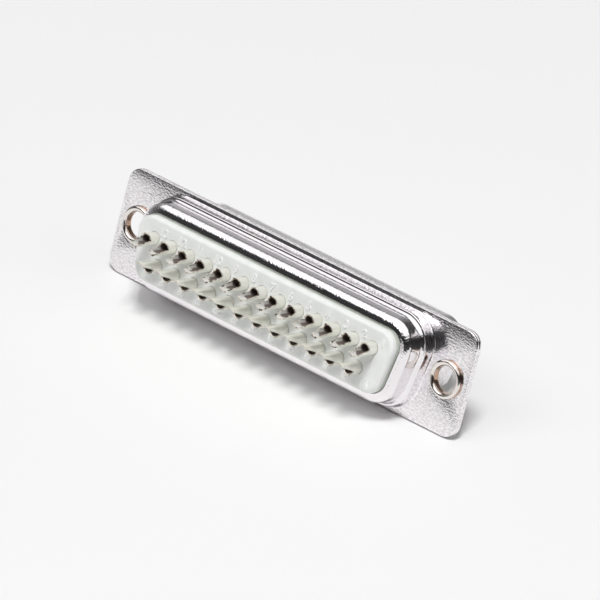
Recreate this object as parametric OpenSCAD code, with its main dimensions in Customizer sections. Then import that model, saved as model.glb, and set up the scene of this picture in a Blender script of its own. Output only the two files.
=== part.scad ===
// Twenty-five-way D-sub plug with solder cups.
//
// The connector stands with its flange upright. X runs along the flange, +Y is the mating side
// with the pins, -Y is the wiring side with the solder cups, and the row of thirteen is up (+Z).
// The origin is the middle of the two mounting holes, on the flange's mating face.
// Every part is drawn lying down, with its D in the XY plane and Z measured rearwards from the
// mating face, and stood() turns it upright.

/* [Flange] */
// Length of the flange
flange_l = 53.04; // [50:0.01:64]
// Height of the flange
flange_h = 12.55; // [12.2:0.01:15.5]
// Corner radius of the flange
flange_r = 1.8; // [0.5:0.1:3]
// Distance between the two mounting holes
hole_pitch = 47.04; // [46:0.01:50]
// Thickness of the sheet steel of both shells
sheet_t = 0.4; // [0.3:0.01:0.5]

/* [Skirt on the mating side] */
// Width across the inside of the skirt, on its wide side
skirt_w = 38.96; // [38:0.01:39.2]
// Height of the inside of the skirt
skirt_h = 8.36; // [8:0.01:8.8]
// Corner radius of the inside of the skirt
skirt_r = 2.6; // [1.5:0.1:3]
// Depth of the skirt, from the mating face to its rim
skirt_d = 5.84; // [4.8:0.01:7.2]
// Angle of the short sides of every D to the upright
d_angle = 10; // [5:0.5:12]
// Bend radius between the skirt and the flange, on the outside
skirt_bend = 0.3; // [0.2:0.05:0.5]
// Number of grounding dimples along the wide side
dimples_wide = 5; // [0:1:7]
// Number of grounding dimples along the narrow side
dimples_narrow = 4; // [0:1:7]
// Distance between two dimples
dimple_pitch = 6.6; // [4:0.1:7]
// Depth that a dimple is pressed in
dimple_depth = 0.2; // [0.1:0.01:0.25]
// Radius of the ball that presses a dimple
dimple_r = 1.1; // [0.8:0.1:1.5]

/* [Rear shell] */
// Width of the rear wall, outside and on its wide side
wall_w = 40.8; // [40.2:0.01:41]
// Height of the rear wall, outside
wall_h = 10.3; // [10.1:0.01:10.5]
// Corner radius of the rear wall, outside
wall_r = 3.2; // [2.8:0.1:3.5]
// Width of the opening round the insulator, on its wide side
mouth_w = 38.75; // [37.5:0.01:38.9]
// Height of the opening round the insulator
mouth_h = 7.8; // [7.4:0.01:8.2]
// Corner radius of the opening
mouth_r = 2; // [1.6:0.1:2.4]
// Depth of the rear shell, from the mating face to its lip
shell_d = 5; // [4.6:0.05:6.5]
// Outside bend radius of the shoulder
shoulder_r = 0.9; // [0.7:0.05:1]
// How far the wall steps out beside the flange, round the insulator's rim
step_out = 0.4; // [0.3:0.05:0.45]
// Length of the step's straight part
step_run = 0.1; // [0.05:0.05:0.4]
// Bend radius between the step and the flange, on the outside
root_bend = 0.3; // [0.2:0.05:0.4]

/* [Contacts] */
// Number of contacts in the longer row
contacts_long = 13; // [3:1:13]
// Distance between two contacts in a row
pitch = 2.77; // [2.3:0.01:2.77]
// Distance between the two rows
row_pitch = 2.84; // [2.7:0.01:2.95]
// Diameter of a pin
pin_d = 1.02; // [0.9:0.01:1.1]
// Distance of the pins' tips from the mating face
pin_reach = 5.1; // [4:0.05:5.6]
// Length of the rounded tip of a pin
pin_tip = 0.8; // [0.5:0.05:1]
// Diameter of the shoulder that the insulators trap
collar_d = 2; // [1.9:0.05:2.3]
// Length of that shoulder
collar_l = 1.2; // [1:0.05:1.4]
// Outside diameter of a solder cup
cup_d = 1.56; // [1.5:0.01:1.8]
// Wall of a solder cup
cup_wall = 0.2; // [0.15:0.01:0.3]
// Distance of the cups' tips from the mating face
cup_reach = 9.5; // [8.8:0.05:11]
// Depth of the hollow in a solder cup
cup_depth = 3.2; // [2.8:0.05:3.9]
// Length of the opening in the side of a solder cup
scoop_l = 2; // [1.6:0.05:2.6]
// Height of the scoop's edge over the cup's axis at the tip
scoop_low = -0.45; // [-0.5:0.05:0.1]
// Height of the scoop's edge over the cup's axis at its inner end
scoop_high = 0.1; // [0:0.05:0.5]

/* [Insulators] */
// How far the front insulator stands out of the flange, into the skirt
front_proud = 0.25; // [0:0.05:0.6]
// Distance of the joint between the insulators from the mating face
split_d = 2; // [1.8:0.05:2.1]
// How far the rear insulator stands out of the lip
rear_proud = 1.2; // [0.5:0.05:1.4]
// Radius of the rear insulator's outer edge
rear_edge = 0.45; // [0.1:0.05:0.5]
// Play between an insulator and the shells
shell_play = 0.06; // [0.03:0.01:0.1]
// Play round a contact in the insulators
contact_play = 0.04; // [0.02:0.01:0.08]

/* [Eyelets] */
// Diameter of the mounting holes, through the eyelets
bore_d = 3.05; // [3:0.01:3.2]
// Wall of the eyelet's tube
eyelet_wall = 0.25; // [0.2:0.01:0.3]
// Outside diameter of the rolled rim on the wiring side
rim_d = 4.6; // [4.3:0.05:4.8]
// Height of the rolled rim
rim_h = 0.5; // [0.4:0.05:0.7]
// Outside diameter of the flat head, which lies flush in the mating face
head_d = 4.7; // [4.4:0.05:5]
// Thickness of the flat head
head_t = 0.2; // [0.1:0.05:0.25]
// Play round the flat head, in the seat coined into the flange
head_play = 0.05; // [0.02:0.01:0.1]
// Radius that rounds the bore into the rim and into the head
bore_edge = 0.4; // [0.3:0.05:0.4]

/* [Hidden] */
$fn = 96;

bite = 0.01;       // overlap of pieces that are drawn as one
over = 1;          // how far a cut runs past what it cuts
hair = 0.008;      // how far surfaces that would only touch are let into each other
corner_cut = 1;    // how far a corner's round body reaches past its centre, towards the other row
step_lap = 0.05;   // how far the round of the step's edge reaches in past the wall

mouth = d_corners(mouth_w, mouth_h, mouth_r);
skirt = d_corners(skirt_w, skirt_h, skirt_r);
wall = d_corners(wall_w, wall_h, wall_r);
step_at = wall_r + step_out;                         // outside of the step, from a corner's centre
step_r = max(step_out, sheet_t) + step_lap;          // radius of the step's outer edge
step_from = 2 * sheet_t + root_bend + step_run;      // where that edge starts to draw in
root_at = step_at + root_bend;                       // where the rear wall has turned into the flange
skirt_root = skirt_r + sheet_t + skirt_bend;         // where the skirt has turned into the flange
body_r = wall_r - sheet_t - shell_play;              // outside of the insulators, in the rear wall
body_round = shoulder_r - sheet_t;
rim_r = step_at - sheet_t - shell_play;              // front insulator's rim, in the step
rim_top = step_from + step_r - sheet_t;
boss_r = mouth_r - shell_play;                       // rear insulator, in the opening
plug_r = skirt_r - shell_play;                       // front insulator, in the skirt
rear_face = shell_d + rear_proud;
bearing = shell_d - sheet_t;                         // where the rear insulator bears on the lip
hole_d = bore_d + 2 * eyelet_wall;

// Places of the contacts, seen from the wiring side: contact 1 is at the right of the upper row
function row_x(i, n) = ((n - 1) / 2 - i) * pitch;
places = concat([for (i = [0 : contacts_long - 1]) [row_x(i, contacts_long), row_pitch / 2]],
                [for (i = [0 : contacts_long - 2]) [row_x(i, contacts_long - 1), -row_pitch / 2]]);

function contact_name(i) = str("contact_", i < 10 ? "0" : "", i);

// Centres of a D's four corners, from the upper right one round to the lower right one
function d_corners(w, h, r) =
    let (x = w / 2 - r, y = h / 2 - r, run = (h - 2 * r) * tan(d_angle))
    [[x, y], [-x, y], [-x + run, -y], [x - run, -y]];

// Direction in which each corner starts, and how far it turns
turn_from = [-d_angle, 90, 180 + d_angle, 270];
turn_by = [90 + d_angle, 90 + d_angle, 90 - d_angle, 90 - d_angle];

function on_circle(c, r, a) = c + r * [cos(a), sin(a)];

module stood() {
    rotate([90, 0, 0]) children();
}

// A filled D whose corners have the radius r
module d_face(c, r) {
    polygon([for (i = [0 : 3]) each [on_circle(c[i], r - hair, turn_from[i]),
                                     on_circle(c[i], r - hair, turn_from[i] + turn_by[i])]]);
    for (p = c) translate(p) circle(r);
}

module d_block(c, r, from, to) {
    translate([0, 0, from]) linear_extrude(to - from) d_face(c, r);
}

// A solid D with a shaped edge, cut off flat at both ends. The section's X is the distance from a
// corner's centre and its Y is the distance rearwards. It runs past both ends.
module shaped_d(c, from, to) {
    far = 2 * (to - from) + flange_h;
    intersection() {
        union() {
            translate([0, 0, from - over]) linear_extrude(to - from + 2 * over) polygon(c);
            for (i = [0 : 3]) {
                translate(c[i]) intersection() {
                    rotate_extrude() children();
                    translate([-far, i < 2 ? -corner_cut : corner_cut - far, -far])
                        cube(far * [2, 1, 2]);
                }
                translate(c[i]) rotate([90, 0, turn_from[i]])
                    linear_extrude(norm(c[i] - c[(i + 3) % 4])) translate([-hair, 0]) children();
            }
        }
        translate([-flange_l, -flange_h, from]) cube([2 * flange_l, 2 * flange_h, to - from]);
    }
}

module strip(x0, x1, y0, y1) {
    translate([x0, y0]) square([x1 - x0, y1 - y0]);
}

// A quarter of a disc that rounds an outside edge: its centre and the side it lies on
module round_edge(x, y, r, side) {
    intersection() {
        translate([x, y]) circle(r);
        strip(x, x + r, side < 0 ? y - r : y, side < 0 ? y : y + r);
    }
}

// The corner that a quarter of a disc leaves: it fills an inside edge
module fillet(x, y, r, side) {
    difference() {
        strip(x - r, x, side < 0 ? y - r : y, side < 0 ? y : y + r);
        translate([x, y]) circle(r);
    }
}

module flange_plate(from) {
    translate([0, 0, from]) linear_extrude(sheet_t) difference() {
        union() {
            square([flange_l - 2 * flange_r, flange_h], center = true);
            square([flange_l, flange_h - 2 * flange_r], center = true);
            for (x = [-1, 1], y = [-1, 1])
                translate([x * (flange_l / 2 - flange_r), y * (flange_h / 2 - flange_r)])
                    circle(flange_r);
        }
        for (x = [-1, 1]) translate([x * hole_pitch / 2, 0]) circle(d = hole_d);
    }
}

module dimples(r) {
    rows = [[dimples_wide, 1], [dimples_narrow, -1]];
    for (row = rows, i = [0 : 1 : row[0] - 1])
        translate([(i - (row[0] - 1) / 2) * dimple_pitch,
                   row[1] * (skirt_h / 2 + sheet_t + dimple_r - dimple_depth),
                   -skirt_d / 2]) sphere(r);
}

// Outside of the skirt, with the bend at its root let into the flange
module skirt_outside() {
    strip(0, skirt_r + sheet_t, -skirt_d - over, sheet_t + over);
    strip(skirt_r, skirt_root, 0, sheet_t + over);
    translate([0, hair]) fillet(skirt_root, -skirt_bend, skirt_bend, 1);
}

// Inside of the skirt, with the same bend
module skirt_inside() {
    strip(0, skirt_r, -skirt_d - 2 * over, sheet_t + 2 * over);
    fillet(skirt_root, -skirt_bend, skirt_bend + sheet_t + hair, 1);
    strip(0, skirt_root, sheet_t, sheet_t + 2 * over);
}

module head_seats() {
    for (x = [-1, 1]) translate([x * hole_pitch / 2, 0, -over])
        cylinder(d = head_d + 2 * head_play, h = head_t + over);
}

module front_shell() {
    color("gainsboro") stood() difference() {
        union() {
            flange_plate(0);
            shaped_d(skirt, -skirt_d, sheet_t / 2) skirt_outside();
        }
        head_seats();
        difference() {
            shaped_d(skirt, -skirt_d - over, sheet_t + over) skirt_inside();
            dimples(dimple_r + sheet_t);
        }
        dimples(dimple_r);
    }
}

// Outside or inside of the rear wall: lip, shoulder, wall and step. It lies deeper than the sheet's
// outside by the thickness t.
module wall_section(t) {
    strip(0, wall_r - shoulder_r, 0, shell_d - t + over);
    strip(0, wall_r - t, 0, shell_d - shoulder_r);
    round_edge(wall_r - shoulder_r, shell_d - shoulder_r, shoulder_r - t, 1);
    strip(0, step_at - t, 0, step_from);
    strip(0, step_at - step_r, step_from, step_from + step_r - t);
    round_edge(step_at - step_r, step_from, step_r - t, 1);
}

module rear_shell() {
    root_z = 2 * sheet_t + root_bend;
    color("silver") stood() difference() {
        union() {
            flange_plate(sheet_t);
            shaped_d(wall, 1.5 * sheet_t, shell_d) {
                wall_section(0);
                intersection() {
                    translate([0, -hair]) fillet(root_at, root_z, root_bend, -1);
                    strip(0, root_at - 2 * hair, 0, root_z);
                }
                strip(0, root_at - 2 * hair, 0, 2 * sheet_t - hair);
            }
        }
        shaped_d(wall, sheet_t - over, shell_d - sheet_t) {
            wall_section(sheet_t);
            fillet(root_at, root_z, root_bend + sheet_t + hair, -1);
            strip(0, root_at, sheet_t - 2 * over, sheet_t);
        }
        d_block(mouth, mouth_r, sheet_t, shell_d + over);
    }
}

module contact_holes(d, from, to) {
    for (p = places) translate([p.x, p.y, from]) cylinder(d = d, h = to - from);
}

module front_insulator() {
    color("whitesmoke") stood() difference() {
        union() {
            d_block(skirt, plug_r, -front_proud, sheet_t + bite);
            d_block(wall, rim_r, sheet_t, rim_top);
            d_block(wall, body_r, sheet_t, split_d);
        }
        contact_holes(pin_d + 2 * contact_play, -front_proud - over, split_d + over);
        contact_holes(collar_d + 2 * contact_play, split_d - collar_l / 2, split_d + over);
    }
}

module rear_insulator() {
    color("white") stood() difference() {
        union() {
            shaped_d(wall, split_d, bearing) {
                strip(0, body_r, split_d - over, bearing - body_round);
                strip(0, body_r - body_round, split_d - over, bearing + over);
                round_edge(body_r - body_round, bearing - body_round, body_round, 1);
            }
            shaped_d(mouth, bearing - bite, rear_face) {
                strip(0, boss_r - rear_edge, bearing - over, rear_face + over);
                strip(0, boss_r, bearing - over, rear_face - rear_edge);
                round_edge(boss_r - rear_edge, rear_face - rear_edge, rear_edge, 1);
            }
        }
        contact_holes(cup_d + 2 * contact_play, split_d - over, rear_face + over);
        contact_holes(collar_d + 2 * contact_play, split_d - over, split_d + collar_l / 2);
    }
}

module eyelet(side) {
    bore = bore_d / 2;
    top = 2 * sheet_t + rim_h;
    roll_r = rim_d / 2 - bore - bore_edge;
    color("rosybrown") stood() translate([side * hole_pitch / 2, 0, 0]) rotate_extrude() {
        difference() {
            union() {
                strip(bore, hole_d / 2, 0, top - bore_edge);
                intersection() {
                    union() {
                        translate([bore + bore_edge, top - bore_edge]) circle(bore_edge);
                        translate([rim_d / 2 - roll_r, top - roll_r]) circle(roll_r);
                    }
                    strip(bore, rim_d / 2, 2 * sheet_t, top);
                }
                strip(bore, (head_d - head_t) / 2, 0, head_t);
                translate([(head_d - head_t) / 2, head_t / 2]) circle(head_t / 2);
            }
            difference() {
                strip(bore - over, bore + bore_edge, -over, bore_edge);
                translate([bore + bore_edge, bore_edge]) circle(bore_edge);
            }
        }
    }
}

module eyelet_left() {
    eyelet(-1);
}

module eyelet_right() {
    eyelet(1);
}

// Turned outline of a contact, with the pin's rounded tip at the bottom
module contact_section() {
    r = pin_d / 2;
    strip(0, r, pin_tip - pin_reach, split_d);
    intersection() {
        translate([0, pin_tip - pin_reach]) circle(pin_tip);
        strip(0, r, -pin_reach, pin_tip - pin_reach);
    }
    strip(0, collar_d / 2, split_d - collar_l / 2, split_d + collar_l / 2);
    strip(0, cup_d / 2, split_d, cup_reach);
}

// A contact with its scoop opening to the side that the row faces, up or down
module contact(i) {
    p = places[i - 1];
    up = p.y > 0 ? 1 : -1;
    rise = atan((scoop_high - scoop_low) / scoop_l);
    color("lightgray") stood() translate([p.x, p.y, 0]) mirror([0, up < 0 ? 1 : 0, 0]) difference() {
        rotate_extrude() contact_section();
        translate([0, 0, cup_reach - cup_depth]) cylinder(d = cup_d - 2 * cup_wall, h = cup_depth + over);
        translate([-cup_d, scoop_low, cup_reach]) rotate([rise, 0, 0])
            translate([0, 0, -scoop_l]) cube([2 * cup_d, cup_d, scoop_l + over]);
    }
}

front_shell();
rear_shell();
front_insulator();
rear_insulator();
eyelet_left();
eyelet_right();
for (i = [1 : 2 * contacts_long - 1]) contact(i);
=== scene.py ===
"""Twenty-five-way D-sub plug with solder cups: its looks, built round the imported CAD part.

Row frame: X runs along the flange towards contact 1, +Y leaves the mating side, and the row of
thirteen is up. Sizes are in millimetres, as in the part's source, and a mesh is in metres. A
shape is drawn lying down, as (across, up, back), where back is the distance rearwards from the
mating face, and stood() turns it upright.
"""

import math

import bmesh
import bpy
import numpy as np
from mathutils import Matrix, Vector
from mathutils.geometry import tessellate_polygon


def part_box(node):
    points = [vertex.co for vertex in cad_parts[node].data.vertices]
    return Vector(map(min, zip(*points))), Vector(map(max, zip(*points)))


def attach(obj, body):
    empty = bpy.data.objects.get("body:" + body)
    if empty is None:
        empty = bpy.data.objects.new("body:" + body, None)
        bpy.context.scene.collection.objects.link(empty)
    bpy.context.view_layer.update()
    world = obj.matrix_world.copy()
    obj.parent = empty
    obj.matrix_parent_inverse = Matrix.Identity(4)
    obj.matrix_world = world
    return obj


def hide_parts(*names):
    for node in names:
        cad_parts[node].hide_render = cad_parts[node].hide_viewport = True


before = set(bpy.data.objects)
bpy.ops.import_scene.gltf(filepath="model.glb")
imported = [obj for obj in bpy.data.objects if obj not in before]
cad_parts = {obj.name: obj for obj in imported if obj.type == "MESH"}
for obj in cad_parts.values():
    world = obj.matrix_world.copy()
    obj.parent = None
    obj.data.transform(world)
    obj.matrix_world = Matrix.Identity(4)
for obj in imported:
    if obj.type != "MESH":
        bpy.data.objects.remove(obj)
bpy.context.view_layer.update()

# ---------------------------------------------------------------- sizes of the part's source
SHEET = 0.4
FLANGE_R = 1.8
SKIRT_W, SKIRT_H, SKIRT_R, SKIRT_D, SKIRT_BEND = 38.96, 8.36, 2.6, 5.84, 0.3
WALL_W, WALL_H, WALL_R = 40.8, 10.3, 3.2
MOUTH_W, MOUTH_H, MOUTH_R = 38.75, 7.8, 2.0
SHELL_D, SHOULDER_R = 5.0, 0.9
DIMPLE_PITCH, DIMPLE_DEPTH, DIMPLE_R = 6.6, 0.2, 1.1
DIMPLE_ZONE = 0.85  # the dimples lie within this of the skirt's middle
PIN_D, PIN_TIP = 1.02, 0.8
COLLAR_D, COLLAR_L, SPLIT_D = 2.0, 1.2, 2.0
CUP_D, CUP_WALL, CUP_DEPTH = 1.56, 0.2, 3.2
SCOOP_L, SCOOP_LOW, SCOOP_HIGH = 2.0, -0.45, 0.1
BORE_D, EYELET_WALL, RIM_H = 3.05, 0.25, 0.5
HEAD_D, HEAD_T, HEAD_PLAY, BORE_EDGE = 4.7, 0.2, 0.05, 0.4
HOLE_R = BORE_D / 2 + EYELET_WALL

# what the press leaves, which the source draws plainly or a little otherwise
RIM_D = 4.4  # across an eyelet's rolled rim, 4.6 in the source
EDGE, RIM_EDGE = 0.06, 0.13  # rolled-over edge at a punched hole, and round the flange
ROOT_BEND, STEP_OUT, STEP_TO = 0.24, 0.5, 2.15  # inner bend at the flange, and the step's end
STEP_R, STEP_LEAN = 0.12, 80.0  # the step's round, and its leaning face
FOOT_R, FOOT = 1.0, 40.0  # radius and turn of the hollow where the step runs out into the wall
DRAFT = 0.03  # the drawn wall is wider than its middle by this at its root, and narrower at its end
HOLD = 0.04  # a section's flat keeps its own normal up to this far from a bend
LIP_RISE, LIP_RUN = 0.085, 0.35  # the lip still climbs a little, over this distance
NUMBER_H, NUMBER_SIZE, NUMBER_BOLD = 0.12, 1.3, 0.03  # the moulded numbers' relief, type and weight
NUMBER_UPPER, NUMBER_LOWER = (1.3, 0.7), (1.45, -1.85)  # from a contact's axis to its number
D_ANGLE = 10.0
D_START = np.radians([-D_ANGLE, 90.0, 180.0 + D_ANGLE, 270.0])
D_TURN = np.radians([90.0 + D_ANGLE, 90.0 + D_ANGLE, 90.0 - D_ANGLE, 90.0 - D_ANGLE])
ROUND = 2 * math.pi


# ---------------------------------------------------------------- outlines and sections
def stood(points):
    """(across, up, back) in millimetres becomes (x, y, z) = (across, -back, up) in metres."""
    return np.stack([points[..., 0], -points[..., 2], points[..., 1]], -1) * 0.001


def arc(x, y, r, start, end, steps=10):
    """Points on a circle: centre plus r times (cos a, sin a), a going evenly from start to end."""
    a = np.radians(np.linspace(start, end, steps + 1))
    return np.stack([x + r * np.cos(a), y + r * np.sin(a)], -1)


def d_corners(w, h, r):
    """Centres of a D's four corners, whose lower pair is drawn in by the slope of its sides."""
    x, y = w / 2 - r, h / 2 - r
    run = (h - 2 * r) * math.tan(math.radians(D_ANGLE))
    return np.array([[x, y], [-x, y], [-x + run, -y], [x - run, -y]])


def rim_of(centres, start, turn, bend=24, run=1):
    """A closed outline as (base, direction): any outline parallel to it is base + r * direction.

    At a corner the base stays on the corner's centre while the direction turns evenly. Along a
    side the direction stays and the base slides to the next centre, in the given number of runs.
    """
    base, direction = [], []
    for i, (centre, a, b) in enumerate(zip(centres, start, start + turn)):
        angles = np.linspace(a, b, bend + 1)
        following = centres[(i + 1) % len(centres)]
        slide = np.linspace(0, 1, run + 1)[1:-1, None]
        base += [np.repeat(centre[None], bend + 1, 0), centre + slide * (following - centre)]
        angles = np.concatenate([angles, np.full(run - 1, b)])
        direction.append(np.stack([np.cos(angles), np.sin(angles)], -1))
    return np.concatenate(base), np.concatenate(direction)


def circle_at(x, steps=96):
    """The outline of a round hole or post whose axis passes through (x, 0)."""
    a = np.linspace(0, ROUND, steps, endpoint=False)
    return np.repeat([[x, 0.0]], steps, 0), np.stack([np.cos(a), np.sin(a)], -1)


def carried(outline, section):
    """A section (r, back) carried round an outline: base + r * direction, at that back."""
    base, direction = outline
    across = base[:, None] + section[None, :, :1] * direction[:, None]
    back = np.broadcast_to(section[None, :, 1:], across.shape[:2] + (1,))
    return np.concatenate([across, back], -1)


def quads(rows, columns, first, close_columns):
    """Corner numbers of the faces of a grid whose points are numbered row by row from first.
    The last row always joins the first, and the last column does if close_columns says so."""
    i = np.arange(rows)[:, None]
    j = np.arange(columns if close_columns else columns - 1)[None]
    i2, j2 = (i + 1) % rows, (j + 1) % columns
    corners = [i * columns + j, i2 * columns + j, i2 * columns + j2, i * columns + j2]
    return np.stack(np.broadcast_arrays(*corners), -1).reshape(-1, 4) + first


def made(name, grids, plates=(), angle=32.0, closed=(), bands=()):
    """A mesh object in metres from grids of points, and flat plates between rings of points.

    Each grid closes round its rows. A grid whose number is in closed also closes round its
    section. Points that coincide are merged, so that grids and plates share their seams, and
    the faces are turned outwards. A plate is shaded flat, so that it stays a plane right up to
    the bends round it. bands names the first column of the faces that take the second
    material, the third and so on.
    """
    points, faces, first = [], [], 0
    for k, grid in enumerate(grids):
        rows, columns = grid.shape[:2]
        faces += quads(rows, columns, first, k in closed).tolist()
        points.append(grid.reshape(-1, 3))
        first += rows * columns
    curved = len(faces)
    for back, rings in plates:
        flat = [np.concatenate([ring, np.zeros((len(ring), 1))], 1) for ring in rings]
        every = np.concatenate(flat)
        tris = np.array(tessellate_polygon([[Vector(p) for p in ring] for ring in flat]))
        faces += (tris + first).tolist()
        every[:, 2] = back
        points.append(every)
        first += len(every)
    mesh = bpy.data.meshes.new(name)
    mesh.from_pydata(stood(np.concatenate(points)), [], faces)
    mesh.polygons.foreach_set("use_smooth", np.arange(len(faces)) < curved)
    if bands:
        column = np.arange(len(faces)) % (grids[0].shape[1] - 1)
        slots = np.searchsorted(bands, column, "right").astype(np.int32)
        mesh.polygons.foreach_set("material_index", slots)
    work = bmesh.new()
    work.from_mesh(mesh)
    bmesh.ops.remove_doubles(work, verts=work.verts, dist=1e-6)
    bmesh.ops.dissolve_degenerate(work, edges=work.edges, dist=1e-7)
    bmesh.ops.recalc_face_normals(work, faces=work.faces)
    work.to_mesh(mesh)
    work.free()
    mesh.set_sharp_from_angle(angle=math.radians(angle))
    piece = bpy.data.objects.new(name, mesh)
    bpy.context.scene.collection.objects.link(piece)
    return piece


def ring(outline, r):
    """The outline parallel to another at the distance r, as points across and up."""
    return outline[0] + r * outline[1]


# ---------------------------------------------------------------- colours and nodes
# relief of the flat sheet, the walls, the shoulder and the lip's edge, in metres
ROLLED, DRAWN, STRETCHED, SHEARED = 9e-6, 10e-6, 24e-6, 14e-6


def tint(code):
    """An sRGB hex colour as linear red, green, blue and alpha."""
    c = np.array([int(code[i : i + 2], 16) for i in (1, 3, 5)]) / 255
    return (*np.where(c <= 0.04045, c / 12.92, ((c + 0.055) / 1.055) ** 2.4).tolist(), 1.0)


def add(tree, kind, inputs=(), **settings):
    """One node with its settings. inputs gives each socket a value or another node's output."""
    item = tree.nodes.new(kind)
    for key, value in settings.items():
        setattr(item, key, value)
    for key, value in dict(inputs).items():
        if isinstance(value, bpy.types.NodeSocket):
            tree.links.new(value, item.inputs[key])
        else:
            item.inputs[key].default_value = value
    return item


def material(name):
    """A new node material, its tree, its shader, and Object coordinates in millimetres."""
    m = bpy.data.materials.new(name)
    m.use_nodes = True
    tree = m.node_tree
    shader = tree.nodes["Principled BSDF"]
    where = add(tree, "ShaderNodeTexCoord").outputs["Object"]
    scaled = add(tree, "ShaderNodeVectorMath", {0: where, 1: (1000, 1000, 1000)}, operation="MULTIPLY")
    return m, tree, shader, scaled.outputs[0]


def tinned_steel():
    """Tin-plated drawn steel sheet. Tin is a bright, slightly violet white mirror. Rolling leaves
    a satin grain along the flat sheet, drawing burnishes the walls and stretches the grain down
    them, and the plating adds an orange peel, deepest where the shoulder is stretched most, so
    that a reflection's edge breaks up into flecks. The real grain is under 0.1 mm: it is drawn
    about 0.2 mm wide, to show."""
    m, tree, shader, at = material("tin_plated_drawn_steel")
    back = add(tree, "ShaderNodeSeparateXYZ", {0: at}).outputs[1]
    drawn = add(tree, "ShaderNodeMapRange", {0: back, 1: -0.8, 2: -1.2, 3: 0.0, 4: 1.0}).outputs[0]
    rolled_at = add(tree, "ShaderNodeMapping", {0: at, 3: (2.5, 5.0, 5.0)}).outputs[0]
    drawn_at = add(tree, "ShaderNodeMapping", {0: at, 3: (4.5, 1.8, 4.5)}).outputs[0]
    plain = {"Scale": 1.0, "Detail": 1.0, "Roughness": 0.4}
    rolled = add(tree, "ShaderNodeTexNoise", {**plain, "Vector": rolled_at}).outputs[0]
    streaks = add(tree, "ShaderNodeTexNoise", {**plain, "Vector": drawn_at}).outputs[0]
    peel = add(tree, "ShaderNodeTexNoise", {**plain, "Vector": at, "Scale": 5.0}).outputs[0]
    grain = add(tree, "ShaderNodeMix", {0: drawn, 2: rolled, 3: streaks}).outputs[0]
    height = add(tree, "ShaderNodeMath", {0: grain, 1: peel}, operation="ADD").outputs[0]
    wall = add(tree, "ShaderNodeMapRange", {0: drawn, 3: ROLLED, 4: DRAWN}).outputs[0]
    relief = add(tree, "ShaderNodeMapRange", {0: back, 1: -3.9, 2: -4.4, 3: wall, 4: STRETCHED}).outputs[0]
    relief = add(tree, "ShaderNodeMapRange",
                 {0: back, 1: -4.86, 2: -4.94, 3: relief, 4: SHEARED}).outputs[0]
    bump = add(tree, "ShaderNodeBump", {"Height": height, "Strength": 1.0, "Distance": relief})
    mottle = add(tree, "ShaderNodeMapRange", {0: grain, 1: 0.35, 2: 0.6}).outputs[0]
    mottle = add(tree, "ShaderNodeMix", {0: drawn, 2: mottle, 3: 0.7}).outputs[0]
    colour = add(tree, "ShaderNodeMix", {0: mottle, 6: tint("#dedadd"), 7: tint("#faf7f9")},
                 data_type="RGBA").outputs[2]
    rough = add(tree, "ShaderNodeMapRange", {0: drawn, 3: 0.15, 4: 0.09}).outputs[0]
    tree.links.new(colour, shader.inputs["Base Color"])
    tree.links.new(rough, shader.inputs["Roughness"])
    shader.inputs["Metallic"].default_value = 1.0
    tree.links.new(bump.outputs[0], shader.inputs["Normal"])
    return m


def moulded_polyester():
    """Glass-filled PBT, injection moulded: a satin off-white with a little green, faintly cloudy
    from the fibres, and not quite flat. It is painted greyer in a narrow band where the block
    goes into the shell, a painted shade for the shade in the gap at the shell's opening."""
    m, tree, shader, at = material("moulded_white_polyester")
    cloud = add(tree, "ShaderNodeTexNoise", {"Vector": at, "Scale": 0.8, "Detail": 3.0}).outputs[0]
    level = add(tree, "ShaderNodeMapRange", {0: cloud, 1: 0.35, 2: 0.65}).outputs[0]
    colour = add(tree, "ShaderNodeMix", {0: level, 6: tint("#eef1ee"), 7: tint("#f6f7f5")},
                 data_type="RGBA").outputs[2]
    back = add(tree, "ShaderNodeSeparateXYZ", {0: at}).outputs[1]
    # painted shade: a narrow grey band round the block's sides where it goes into the shell
    inside = add(tree, "ShaderNodeMapRange", {0: back, 1: -5.5, 2: -5.35},
                 interpolation_type="SMOOTHSTEP").outputs[0]
    outside = add(tree, "ShaderNodeMapRange", {0: back, 1: 0.0, 2: 0.2, 3: 1.0, 4: 0.0}).outputs[0]
    shade = add(tree, "ShaderNodeMath", {0: inside, 1: outside}, operation="MULTIPLY").outputs[0]
    colour = add(tree, "ShaderNodeMix", {0: shade, 6: colour, 7: tint("#cbd0c7")},
                 data_type="RGBA").outputs[2]
    fibres = add(tree, "ShaderNodeTexNoise", {"Vector": at, "Scale": 6.0, "Detail": 2.0}).outputs[0]
    bump = add(tree, "ShaderNodeBump", {"Height": fibres, "Strength": 0.5, "Distance": 0.00001}).outputs[0]
    tree.links.new(colour, shader.inputs["Base Color"])
    tree.links.new(bump, shader.inputs["Normal"])
    shader.inputs["Roughness"].default_value = 0.42
    return m


def polished_polyester():
    """The same plastic where the mould is polished, as in its cut numbers: glossier, and painted whiter, a
    painted highlight that makes the relief show.
    """
    m, tree, shader, at = material("glossy_plastic_with_painted_highlight")
    cloud = add(tree, "ShaderNodeTexNoise", {"Vector": at, "Scale": 1.5, "Detail": 2.0}).outputs[0]
    # painted highlight: the numbers are whiter than the face they stand on
    colour = add(tree, "ShaderNodeMix", {0: cloud, 6: tint("#fbfcfb"), 7: tint("#ffffff")},
                 data_type="RGBA").outputs[2]
    tree.links.new(colour, shader.inputs["Base Color"])
    shader.inputs["Roughness"].default_value = 0.2
    return m


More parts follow.
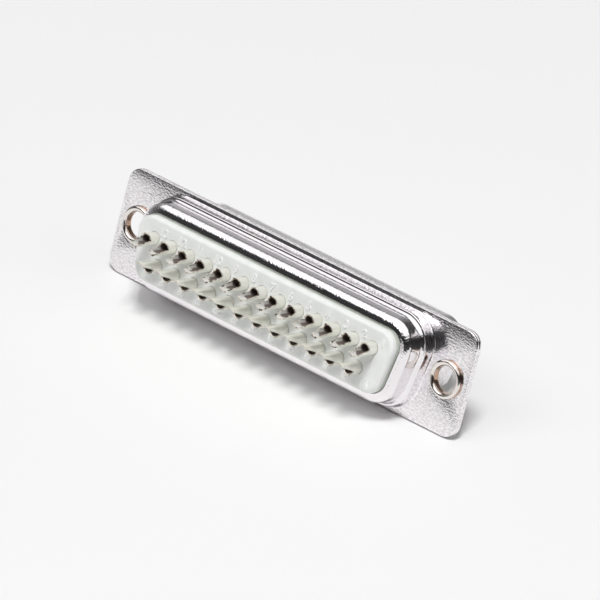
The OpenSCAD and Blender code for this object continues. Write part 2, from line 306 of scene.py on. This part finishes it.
def tinned_brass():
    """Turned brass, tin plated: a soft silver with a cream cast, and fine rings from the lathe."""
    m, tree, shader, at = material("tin_plated_turned_brass")
    rings_at = add(tree, "ShaderNodeMapping", {0: at, 3: (0.6, 9.0, 0.6)}).outputs[0]
    rings = add(tree, "ShaderNodeTexNoise", {"Vector": rings_at, "Scale": 1.0, "Detail": 2.0}).outputs[0]
    bump = add(tree, "ShaderNodeBump", {"Height": rings, "Strength": 1.0, "Distance": 0.000006}).outputs[0]
    tree.links.new(bump, shader.inputs["Normal"])
    shader.inputs["Metallic"].default_value = 0.6
    shader.inputs["Base Color"].default_value = tint("#f2f1e9")
    shader.inputs["Roughness"].default_value = 0.28
    return m


def cup_bore():
    """The hollow of a solder cup: matt tin, bright near its tip, with a painted shade that makes
    it dark further in and in a ragged strip along its floor."""
    m, tree, shader, at = material("drilled_cup_bore")
    back = add(tree, "ShaderNodeSeparateXYZ", {0: at}).outputs[1]
    # painted shade: the bore turns dark further in
    deep_shade = add(tree, "ShaderNodeMapRange", {0: back, 1: -7.6, 2: -7.3},
               interpolation_type="SMOOTHSTEP").outputs[0]
    ragged = add(tree, "ShaderNodeTexNoise", {"Vector": at, "Scale": 2.2, "Detail": 1.0}).outputs[0]
    reach = add(tree, "ShaderNodeMath", {0: ragged, 1: 1.4, 2: back}, operation="MULTIPLY_ADD").outputs[0]
    reach = add(tree, "ShaderNodeMapRange", {0: reach, 1: -7.95, 2: -7.8}).outputs[0]
    normal = add(tree, "ShaderNodeNewGeometry").outputs["Normal"]
    facing = add(tree, "ShaderNodeSeparateXYZ", {0: normal}).outputs[2]
    floor_of = add(tree, "ShaderNodeMapRange", {0: facing, 1: 0.5, 2: 0.7}).outputs[0]
    # painted shade: a ragged dark strip along the bore's upward-facing floor
    shade_tongue = add(tree, "ShaderNodeMath", {0: reach, 1: floor_of}, operation="MULTIPLY").outputs[0]
    level = add(tree, "ShaderNodeMath", {0: deep_shade, 1: shade_tongue}, operation="MAXIMUM").outputs[0]
    colour = add(tree, "ShaderNodeMix", {0: level, 6: tint("#ecebe6"), 7: tint("#857a74")},
                 data_type="RGBA").outputs[2]
    tree.links.new(colour, shader.inputs["Base Color"])
    shader.inputs["Metallic"].default_value = 0.35
    shader.inputs["Roughness"].default_value = 0.5
    return m


def cut_brass():
    """Bare brass where the cutter opened the cup through the plating: dull and brown."""
    m, tree, shader, at = material("cut_bare_brass")
    stain = add(tree, "ShaderNodeTexNoise", {"Vector": at, "Scale": 2.5, "Detail": 3.0}).outputs[0]
    height = add(tree, "ShaderNodeSeparateXYZ", {0: at}).outputs[2]
    # fewer dark spots, so a lighter lip, on the lower row of contacts, below the block's middle
    lower_row_lift = add(tree, "ShaderNodeMapRange", {0: height, 1: -0.1, 2: 0.1, 3: 0.12, 4: 0.0}).outputs[0]
    stain = add(tree, "ShaderNodeMath", {0: stain, 1: lower_row_lift}, operation="ADD").outputs[0]
    level = add(tree, "ShaderNodeMapRange", {0: stain, 1: 0.4, 2: 0.5}).outputs[0]
    colour = add(tree, "ShaderNodeMix", {0: level, 6: tint("#5e4a3e"), 7: tint("#efe9df")},
                 data_type="RGBA").outputs[2]
    tree.links.new(colour, shader.inputs["Base Color"])
    shader.inputs["Metallic"].default_value = 1.0
    shader.inputs["Roughness"].default_value = 0.35
    return m


def plated_eyelet():
    """Thinly plated brass tube, rolled over: bright silver on top of the roll, and bronze in the
    bore and at the roll's foot, where the plating is thin."""
    m, tree, shader, at = material("thinly_plated_rolled_brass")
    thin = add(tree, "ShaderNodeTexNoise", {"Vector": at, "Scale": 1.2, "Detail": 3.0}).outputs[0]
    back = add(tree, "ShaderNodeSeparateXYZ", {0: at}).outputs[1]
    place = add(tree, "ShaderNodeMath", {0: thin, 1: 0.5, 2: back}, operation="MULTIPLY_ADD").outputs[0]
    level = add(tree, "ShaderNodeMapRange", {0: place, 1: -0.95, 2: -0.6}).outputs[0]
    colour = add(tree, "ShaderNodeMix", {0: level, 6: tint("#ebe5e0"), 7: tint("#bd9f8a")},
                 data_type="RGBA").outputs[2]
    tree.links.new(colour, shader.inputs["Base Color"])
    shader.inputs["Metallic"].default_value = 1.0
    shader.inputs["Roughness"].default_value = 0.12
    return m


STEEL = tinned_steel()
PLASTIC = moulded_polyester()
CONTACT = tinned_brass()
CUT = cut_brass()
BORE = cup_bore()
EYELET = plated_eyelet()


def finished(piece, materials, slot, *nodes):
    """Gives a piece its materials and its body, and hides the CAD nodes that it stands for. The slot argument
    is not used.
    """
    for m in materials:
        piece.data.materials.append(m)
    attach(piece, "root")
    if nodes:
        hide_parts(*nodes)
    return piece


# ---------------------------------------------------------------- the two shells
low, high = (np.array(corner) * 1000 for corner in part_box("rear_shell"))
FLANGE_W, FLANGE_H = high[0] - low[0], high[2] - low[2]
plate_x, plate_y = FLANGE_W / 2 - FLANGE_R, FLANGE_H / 2 - FLANGE_R
EYE_X = float(np.mean([corner[0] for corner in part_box("eyelet_right")])) * 1000

plate_corners = np.array([[plate_x, plate_y], [-plate_x, plate_y], [-plate_x, -plate_y], [plate_x, -plate_y]])
plate_rim = rim_of(plate_corners, np.radians([0, 90, 180, 270]), np.radians([90, 90, 90, 90]))
wall_rim = rim_of(d_corners(WALL_W, WALL_H, WALL_R), D_START, D_TURN)
mouth_rim = rim_of(d_corners(MOUTH_W, MOUTH_H, MOUTH_R), D_START, D_TURN)
eyes = [circle_at(-EYE_X), circle_at(EYE_X)]


def sheet_edge(r, front, back, side, edge):
    """Section across the edge of a punched sheet, whose two corners are rolled over."""
    return np.concatenate([
        arc(r - side * edge, back - edge, edge, 90, 90 - side * 90, 6),
        arc(r - side * edge, front + edge, edge, -90 + side * 90, -90, 6)])


def rear_shell():
    """Flange plate and, in one closed skin with it, the drawn wall: root bend, step, the hollow
    at its foot, wall with its draft, shoulder and lip outside, the lip's sheared edge, and about
    the same line one sheet deeper inside."""
    step_at, root_z = WALL_R + STEP_OUT, 2 * SHEET + ROOT_BEND
    root_at, flat_to = step_at + ROOT_BEND, STEP_TO
    lean = math.radians(STEP_LEAN)
    foot_r = WALL_R + DRAFT + FOOT_R * (1 - math.cos(math.radians(FOOT)))
    drop = step_at - STEP_R * (1 - math.cos(lean)) - foot_r
    crease = flat_to + STEP_R * math.sin(lean) + drop / math.tan(lean)
    foot_to = crease + FOOT_R * math.sin(math.radians(FOOT))
    shoulder, turned = SHELL_D - LIP_RISE - SHOULDER_R, 90 - math.degrees(math.atan(LIP_RISE / LIP_RUN))
    slope = np.array([-math.sin(math.radians(turned)), math.cos(math.radians(turned))]) * HOLD
    lip_from = arc(WALL_R - DRAFT - SHOULDER_R, shoulder, SHOULDER_R, turned, turned, 0) + slope
    edge_from = arc(MOUTH_R + EDGE, SHELL_D - EDGE, EDGE, turned, turned, 0) - slope
    outer = np.concatenate([
        arc(root_at, root_z, ROOT_BEND, 270, 180, 8),
        [[step_at, root_z + HOLD], [step_at, flat_to - HOLD]],
        arc(step_at - STEP_R, flat_to, STEP_R, 0, STEP_LEAN, 8),
        arc(WALL_R + DRAFT + FOOT_R, foot_to, FOOT_R, 180 + FOOT, 181, 10),
        arc(WALL_R - DRAFT - SHOULDER_R, shoulder, SHOULDER_R, 2, turned, 22), lip_from])
    inner = np.concatenate([
        arc(WALL_R - SHOULDER_R, SHELL_D - SHOULDER_R, SHOULDER_R - SHEET, 90, 0, 8),
        [[WALL_R - SHEET, crease - SHEET], [step_at - SHEET, crease - SHEET]],
        arc(root_at, root_z, ROOT_BEND + SHEET, 180, 270, 8)])
    lip = np.concatenate([edge_from, arc(MOUTH_R + EDGE, SHELL_D - EDGE, EDGE, turned, 180, 4),
                          [[MOUTH_R, SHELL_D - SHEET]]])
    wall = np.concatenate([carried(wall_rim, outer), carried(mouth_rim, lip), carried(wall_rim, inner)], 1)
    grids = [wall, carried(plate_rim, sheet_edge(FLANGE_R, SHEET, 2 * SHEET, 1, RIM_EDGE))]
    grids += [carried(eye, sheet_edge(HOLE_R, SHEET, 2 * SHEET, -1, EDGE)) for eye in eyes]
    rings = [ring(plate_rim, FLANGE_R - RIM_EDGE), ring(wall_rim, root_at)]
    rings += [ring(eye, HOLE_R + EDGE) for eye in eyes]
    return made("rear_shell_drawn", grids, [(2 * SHEET, rings), (SHEET, rings)])


def front_shell():
    """Flange plate and skirt in one closed skin. The grounding dimples are pressed into the long
    sides: a point there goes down to a ball's surface, centre height minus sqrt(R2 - distance2)."""
    skirt_rim = rim_of(d_corners(SKIRT_W, SKIRT_H, SKIRT_R), D_START, D_TURN, 24, 240)
    root_at = SKIRT_R + SHEET + SKIRT_BEND
    first, last = SKIRT_D / 2 - DIMPLE_ZONE, SKIRT_D / 2 + DIMPLE_ZONE
    depth = -np.concatenate([np.linspace(SKIRT_BEND, first, 5), np.linspace(first, last, 15)[1:-1],
                             np.linspace(last, SKIRT_D - EDGE, 5)])
    outer = np.concatenate([
        arc(root_at, -SKIRT_BEND, SKIRT_BEND, 90, 180, 8)[:-1],
        np.stack([np.full(len(depth), SKIRT_R + SHEET), depth], -1)])
    rim = np.concatenate([arc(SKIRT_R + SHEET - EDGE, -SKIRT_D + EDGE, EDGE, 0, -90, 4),
                          arc(SKIRT_R + EDGE, -SKIRT_D + EDGE, EDGE, -90, -180, 4)])
    inner = np.concatenate([
        np.stack([np.full(len(depth), SKIRT_R), depth[::-1]], -1),
        arc(root_at, -SKIRT_BEND, SKIRT_BEND + SHEET, 180, 90, 8)[1:]])
    wall = carried(skirt_rim, np.concatenate([outer, rim, inner]))
    across, up, back = wall[..., 0], wall[..., 1], wall[..., 2]
    for count, side in ((5, 1), (4, -1)):
        centres = (np.arange(count) - (count - 1) / 2) * DIMPLE_PITCH
        away = np.abs(across[..., None] - centres).min(-1)
        off2 = away**2 + (back + SKIRT_D / 2) ** 2
        middle = SKIRT_H / 2 + SHEET + DIMPLE_R - DIMPLE_DEPTH
        for r, face in ((DIMPLE_R, SKIRT_H / 2 + SHEET), (DIMPLE_R + SHEET, SKIRT_H / 2)):
            ball = middle - np.sqrt(np.maximum(r * r - off2, 0))
            on_face = (np.abs(up * side - face) < 1e-6) & (off2 < r * r) & (ball < face)
            up[...] = np.where(on_face, side * ball, up)
    seat = HEAD_D / 2 + HEAD_PLAY
    eye_section = np.concatenate([
        arc(HOLE_R + EDGE, SHEET - EDGE, EDGE, 90, 180, 4),
        [[HOLE_R, HEAD_T], [seat, HEAD_T]],
        arc(seat + EDGE, EDGE, EDGE, 180, 270, 4)])
    grids = [wall, carried(plate_rim, sheet_edge(FLANGE_R, 0, SHEET, 1, RIM_EDGE))]
    grids += [carried(eye, eye_section) for eye in eyes]
    plate, root = ring(plate_rim, FLANGE_R - RIM_EDGE), ring(skirt_rim, root_at)
    return made("front_shell_drawn", grids, [
        (SHEET, [plate, root] + [ring(eye, HOLE_R + EDGE) for eye in eyes]),
        (0.0, [plate, root] + [ring(eye, seat + EDGE) for eye in eyes])])


finished(rear_shell(), [STEEL], "shell", "rear_shell")
finished(front_shell(), [STEEL], "shell", "front_shell")


# ---------------------------------------------------------------- eyelets
def eyelet(name, outline):
    """An eyelet's section turned round its axis: bore, rolled rim on the wiring side, tube, and
    the flat head that lies flush in the mating face."""
    bore, top = BORE_D / 2, 2 * SHEET + RIM_H
    roll = RIM_D / 2 - bore - BORE_EDGE
    under = math.degrees(math.asin((2 * SHEET - top + roll) / roll))
    section = np.concatenate([
        arc(bore + BORE_EDGE, BORE_EDGE, BORE_EDGE, 270, 180, 12),
        arc(bore + BORE_EDGE, top - BORE_EDGE, BORE_EDGE, 180, 90, 12),
        arc(RIM_D / 2 - roll, top - roll, roll, 90, under, 14)[1:],
        [[HOLE_R, 2 * SHEET], [HOLE_R, HEAD_T]],
        arc((HEAD_D - HEAD_T) / 2, HEAD_T / 2, HEAD_T / 2, 90, -90, 8)])
    return made(name, [carried(outline, section)], closed=(0,))


for side, outline in zip(("left", "right"), eyes):
    finished(eyelet(f"eyelet_{side}_rolled", outline), [EYELET], "eyelet", f"eyelet_{side}")


# ---------------------------------------------------------------- contacts
def cut_line(up, reach):
    """How far back the cup reaches at a height over its axis: to the tip below the scoop's floor,
    along the sloping floor above it, and to the scoop's end, square to the floor, above that."""
    slope = math.atan((SCOOP_HIGH - SCOOP_LOW) / SCOOP_L)
    corner_up = SCOOP_LOW + SCOOP_L * math.sin(slope)
    corner = reach - SCOOP_L * math.cos(slope)
    floor = reach - (up - SCOOP_LOW) / math.tan(slope)
    end = corner + (up - corner_up) * math.tan(slope)
    return np.where(up <= SCOOP_LOW, reach, np.where(up < corner_up, floor, end))


def contact(name):
    """A contact's stations carried round its axis. Each station has a radius, and a back that
    at the cup's lip depends on the angle, through the height that the scoop cuts at."""
    lo, hi = (np.array(corner) * 1000 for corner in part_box(name))
    x, z = (lo[0] + hi[0]) / 2, (lo[2] + hi[2]) / 2
    tip, reach = -hi[1], -lo[1]
    up = 1 if z > 0 else -1
    a = np.linspace(0, ROUND, 120, endpoint=False)[:, None]
    pin = PIN_D / 2
    nose = np.degrees(np.arcsin(pin / PIN_TIP))
    turned = np.concatenate([
        arc(0, tip + PIN_TIP, PIN_TIP, 270, 270 + nose, 8),
        [[pin, SPLIT_D - COLLAR_L / 2], [COLLAR_D / 2, SPLIT_D - COLLAR_L / 2],
         [COLLAR_D / 2, SPLIT_D + COLLAR_L / 2], [CUP_D / 2, SPLIT_D + COLLAR_L / 2]]])
    outside, inside = CUP_D / 2, CUP_D / 2 - CUP_WALL
    floor = reach - CUP_DEPTH
    hollow = np.array([[inside, floor + 0.1], [inside - 0.1, floor], [0, floor]])
    edge = 0.02
    lip = [(outside, outside, edge), (outside - edge, outside, 0),
           (inside + edge, inside, 0), (inside, inside, edge)]  # radius, radius it is cut at, drop
    radius = np.concatenate([np.repeat(turned[None, :, 0], 120, 0),
                             np.repeat([[r for r, _, _ in lip]], 120, 0),
                             np.repeat(hollow[None, :, 0], 120, 0)], 1)
    back = np.concatenate([np.repeat(turned[None, :, 1], 120, 0)]
                          + [cut_line(at * np.sin(a), reach) - drop for _, at, drop in lip]
                          + [np.repeat(hollow[None, :, 1], 120, 0)], 1)
    grid = np.stack([x + radius * np.cos(a), z + up * radius * np.sin(a), back], -1)
    first = turned.shape[0]
    return made(f"{name}_turned", [grid], bands=(first, first + 3))


for name in sorted(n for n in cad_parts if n.startswith("contact_")):
    finished(contact(name), [CONTACT, CUT, BORE], "contact", name)

for name in ("front_insulator", "rear_insulator"):
    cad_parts[name].material_slots[0].material = PLASTIC


def contact_numbers():
    """The contacts' numbers, moulded in low relief on the wiring side: each is raised by NUMBER_H
    from the block's face, and stands beside its contact, away from the middle of the block."""
    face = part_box("rear_insulator")[0][1]
    points, faces, first = [], [], 0
    for number in range(1, 26):
        lo, hi = (np.array(corner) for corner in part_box(f"contact_{number:02d}"))
        x, z = (lo[0] + hi[0]) / 2, (lo[2] + hi[2]) / 2
        across, up = NUMBER_UPPER if number < 14 else NUMBER_LOWER
        text = bpy.data.curves.new(f"number_{number}", "FONT")
        text.body, text.align_x, text.resolution_u = str(number), "CENTER", 3
        text.size, text.extrude, text.offset = NUMBER_SIZE * 0.001, NUMBER_H * 0.001, NUMBER_BOLD * 0.001
        item = bpy.data.objects.new(f"number_{number}", text)
        flat = item.to_mesh()
        at = np.empty(len(flat.vertices) * 3)
        flat.vertices.foreach_get("co", at)
        at = at.reshape(-1, 3)
        x, z = x + across * 0.001, z + up * 0.001
        points.append(np.stack([x + at[:, 0], face - at[:, 2], z + at[:, 1]], -1))
        faces += [[first + v for v in face_of.vertices] for face_of in flat.polygons]
        first += len(at)
        item.to_mesh_clear()
        bpy.data.objects.remove(item)
        bpy.data.curves.remove(text)
    mesh = bpy.data.meshes.new("contact_numbers")
    mesh.from_pydata(np.concatenate(points), [], faces)
    work = bmesh.new()
    work.from_mesh(mesh)
    bmesh.ops.remove_doubles(work, verts=work.verts, dist=1e-7)
    bmesh.ops.recalc_face_normals(work, faces=work.faces)
    work.to_mesh(mesh)
    work.free()
    piece = bpy.data.objects.new("contact_numbers", mesh)
    bpy.context.scene.collection.objects.link(piece)
    return piece


finished(contact_numbers(), [polished_polyester()], "insulator")


# ---------------------------------------------------------------- stage, light and camera
lean = math.atan2(FLANGE_H / 2 - SKIRT_H / 2 - SHEET, SKIRT_D)
floor_up = Vector((0, -math.sin(lean), math.cos(lean)))
touch = Vector((0, 0, -FLANGE_H / 2 * 0.001))

bpy.ops.mesh.primitive_plane_add(size=4)
floor = bpy.context.object
floor.name = "floor"
floor.data.transform(Matrix.Translation(touch) @ Matrix.Rotation(lean, 4, "X"))


def white_paper():
    """Matt white card. Seen directly, it fades out into the white room between 250 mm and
    700 mm from the part, so that a low view has no horizon."""
    m, tree, shader, at = material("white_paper")
    away = add(tree, "ShaderNodeVectorMath", {0: at}, operation="LENGTH").outputs["Value"]
    solid = add(tree, "ShaderNodeMapRange", {0: away, 1: 250.0, 2: 700.0, 3: 1.0, 4: 0.0},
                interpolation_type="SMOOTHSTEP").outputs[0]
    seen = add(tree, "ShaderNodeLightPath").outputs["Is Camera Ray"]
    solid = add(tree, "ShaderNodeMix", {0: seen, 2: 1.0, 3: solid}).outputs[0]
    tree.links.new(solid, shader.inputs["Alpha"])
    shader.inputs["Base Color"].default_value = tint("#f9f9f9")
    shader.inputs["Roughness"].default_value = 0.9
    return m


floor.data.materials.append(white_paper())


def studio():
    """A big soft white ceiling above a dark room, as metal shows it. The ceiling starts at an
    elevation of 28 degrees and is full at 41, and it is higher towards the right of the side
    that the plug's wiring faces. Low on the left of the mating side the room glows dimly. A grey
    card faces the wiring side, so that a flange seen square on isn't black. A matt surface gets
    only three tenths of the room's light, because the lamps light the part. Seen directly, the
    room is white."""
    world = bpy.data.worlds.new("studio")
    bpy.context.scene.world = world
    world.use_nodes = True
    tree = world.node_tree
    way = add(tree, "ShaderNodeTexCoord").outputs["Generated"]
    right = Vector((1, 0, 0))
    side = floor_up.cross(right)
    high_at, dim_at, lifted_by = math.radians(140), 0.9, 0.22
    towards = right * math.sin(high_at) + side * math.cos(high_at)
    up = add(tree, "ShaderNodeVectorMath", {0: way, 1: floor_up}, operation="DOT_PRODUCT").outputs["Value"]
    ahead = add(tree, "ShaderNodeVectorMath", {0: way, 1: towards},
                operation="DOT_PRODUCT").outputs["Value"]
    ahead = add(tree, "ShaderNodeMath", {0: ahead, 1: 0.0}, operation="MAXIMUM").outputs[0]
    lifted = add(tree, "ShaderNodeMath", {0: ahead, 1: -lifted_by, 2: up}, operation="MULTIPLY_ADD").outputs[0]
    soft = add(tree, "ShaderNodeMapRange", {0: lifted, 1: 0.47, 2: 0.66, 3: 0.02, 4: 1.15},
               interpolation_type="SMOOTHSTEP").outputs[0]
    dim = side * math.cos(dim_at) - right * math.sin(dim_at)
    away = add(tree, "ShaderNodeVectorMath", {0: way, 1: dim},
               operation="DOT_PRODUCT").outputs["Value"]
    glow = add(tree, "ShaderNodeMapRange", {0: away, 1: 0.0, 2: 0.95, 3: 0.06, 4: 0.5}).outputs[0]
    fade = add(tree, "ShaderNodeMapRange", {0: up, 1: 0.0, 2: 0.35, 3: 1.0, 4: 0.5},
               interpolation_type="SMOOTHSTEP").outputs[0]
    high = add(tree, "ShaderNodeMapRange", {0: up, 1: 0.4, 2: 0.48, 3: 1.0, 4: 0.0}).outputs[0]
    fade = add(tree, "ShaderNodeMath", {0: fade, 1: high}, operation="MULTIPLY").outputs[0]
    haze = add(tree, "ShaderNodeMath", {0: glow, 1: fade}, operation="MULTIPLY").outputs[0]
    level = add(tree, "ShaderNodeMath", {0: soft, 1: haze}, operation="MAXIMUM").outputs[0]
    card = add(tree, "ShaderNodeVectorMath", {0: way, 1: -side}, operation="DOT_PRODUCT").outputs["Value"]
    card = add(tree, "ShaderNodeMapRange", {0: card, 1: 0.94, 2: 0.975, 4: 0.6},
               interpolation_type="SMOOTHSTEP").outputs[0]
    level = add(tree, "ShaderNodeMath", {0: level, 1: card}, operation="MAXIMUM").outputs[0]
    path = add(tree, "ShaderNodeLightPath").outputs
    matt = add(tree, "ShaderNodeMath", {0: level, 1: 0.3}, operation="MULTIPLY").outputs[0]
    level = add(tree, "ShaderNodeMix", {0: path["Is Glossy Ray"], 2: matt, 3: level}).outputs[0]
    level = add(tree, "ShaderNodeMix", {0: path["Is Camera Ray"], 2: level, 3: 1.0}).outputs[0]
    tree.links.new(level, tree.nodes["Background"].inputs["Strength"])
    tree.nodes["Background"].inputs["Color"].default_value = (1, 1, 1, 1)


studio()


def place_camera():
    """The camera on a sphere about the part, by azimuth and elevation, then rolled on its axis."""
    azimuth, elevation, roll = (math.radians(v) for v in (36.58, 16.73, 14.52))
    level = math.cos(elevation)
    back = Vector((math.sin(azimuth) * level, -math.cos(azimuth) * level, math.sin(elevation)))
    data = bpy.data.cameras.new("camera")
    data.sensor_width, data.lens = 36, 428.3
    data.clip_start, data.clip_end = 0.01, 20
    camera = bpy.data.objects.new("camera", data)
    camera.rotation_mode = "QUATERNION"
    camera.location = Vector((0.000475, 0.00042, 0.00018)) + back * 0.8
    aim = (-back).to_track_quat("-Z", "Y")
    camera.rotation_quaternion = Matrix.Rotation(roll, 3, back).to_quaternion() @ aim
    bpy.context.scene.collection.objects.link(camera)
    bpy.context.scene.camera = camera


def lamp(name, azimuth, elevation, distance, size, power, mirrored):
    """A square soft lamp aimed at the part from a direction over the floor. Metal mirrors it or
    mirrors only the room behind it."""
    a, e = math.radians(azimuth), math.radians(elevation)
    right = Vector((1, 0, 0))
    level = right * math.sin(a) + floor_up.cross(right) * math.cos(a)
    out = level * math.cos(e) + floor_up * math.sin(e)
    data = bpy.data.lights.new(name, "AREA")
    data.size, data.energy = size, power
    item = bpy.data.objects.new(name, data)
    item.rotation_mode = "QUATERNION"
    item.location = out * distance
    item.rotation_quaternion = out.to_track_quat("Z", "Y")
    item.visible_camera, item.visible_glossy = False, mirrored
    bpy.context.scene.collection.objects.link(item)


lamp("overhead", 140, 69.5, 1.6, 0.4, 16.8, False)
lamp("key", -160, 50, 1.6, 0.9, 3.8, True)
lamp("fill", 80, 30, 1.6, 1.0, 2.8, False)
place_camera()
bpy.context.scene.view_settings.view_transform = "Standard"
